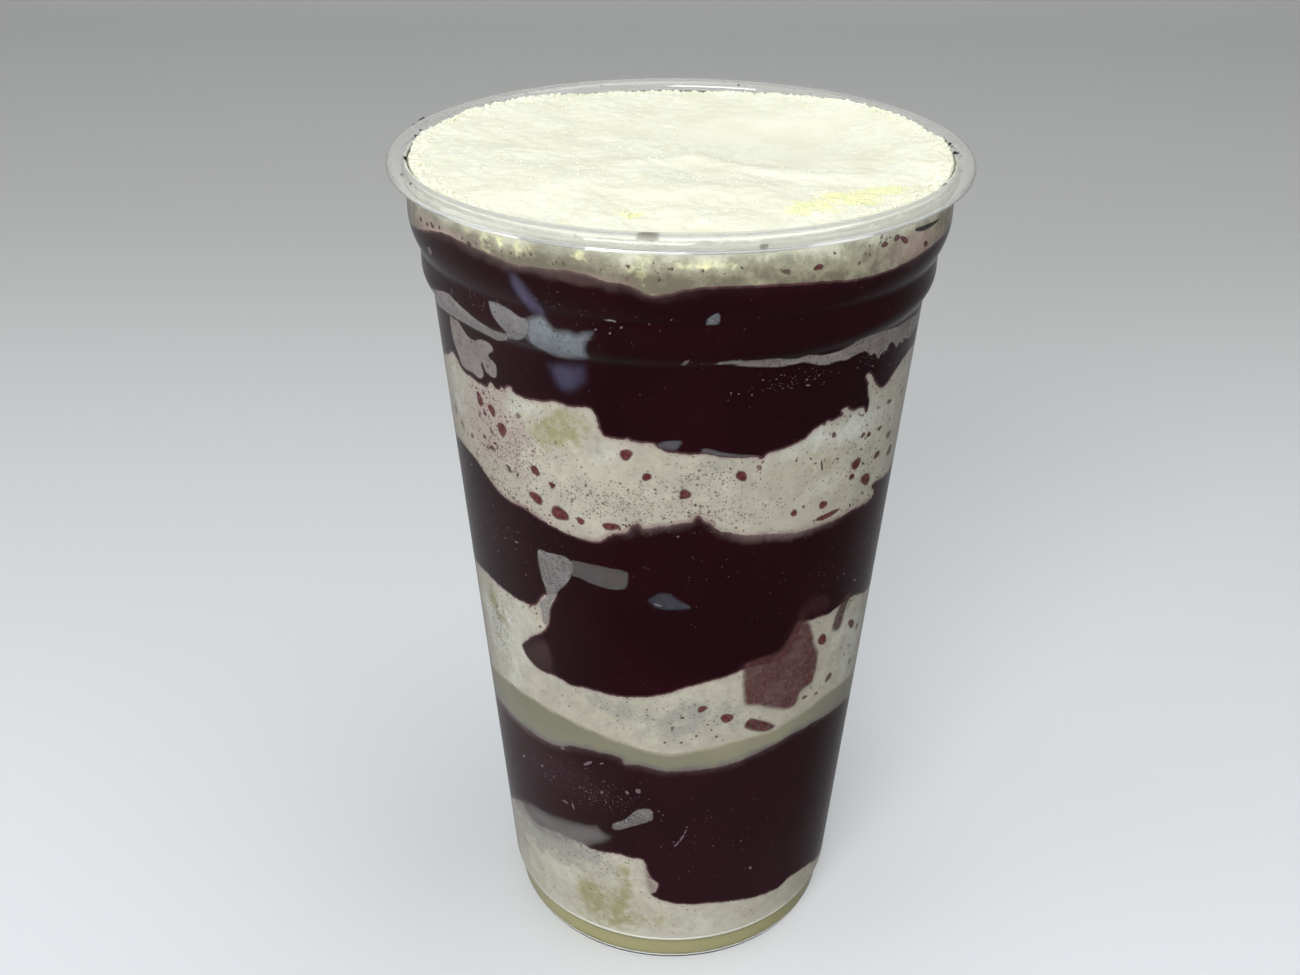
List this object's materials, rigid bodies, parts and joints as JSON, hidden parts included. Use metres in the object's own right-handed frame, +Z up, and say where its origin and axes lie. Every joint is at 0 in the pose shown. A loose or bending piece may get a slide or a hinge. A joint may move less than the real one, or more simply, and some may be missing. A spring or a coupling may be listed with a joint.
{
  "type": "acai cup",
  "caption": "Tall clear takeaway cup filled with wavy layers of dark acai, milk cream and condensed milk, topped level with milk powder.",
  "frame": {"origin": "centre of the cup's foot, on the surface it stands on", "axes": "+Z up along the cup's axis to its rim; -Y is the side shown in the front view; +X to the right of that view"},
  "size_m": [0.098, 0.098, 0.1573],
  "materials": {
    "clear_plastic": "smooth clear thin plastic",
    "acai": "smooth frozen fruit pulp, moist against the wall",
    "milk_cream": "smooth off-white cream, moist",
    "condensed_milk": "glossy pale yellow syrup",
    "milk_powder": "matt fine powder"
  },
  "bodies": {
    "root": {"cup": "clear_plastic", "condensed_milk_base": "condensed_milk", "milk_layer_1": "milk_cream", "acai_layer_1": "acai", "condensed_milk_ribbon": "condensed_milk", "milk_layer_2": "milk_cream", "acai_layer_2": "acai", "milk_layer_3": "milk_cream", "acai_layer_3": "acai", "milk_powder": "milk_powder"}
  },
  "joints": []
}
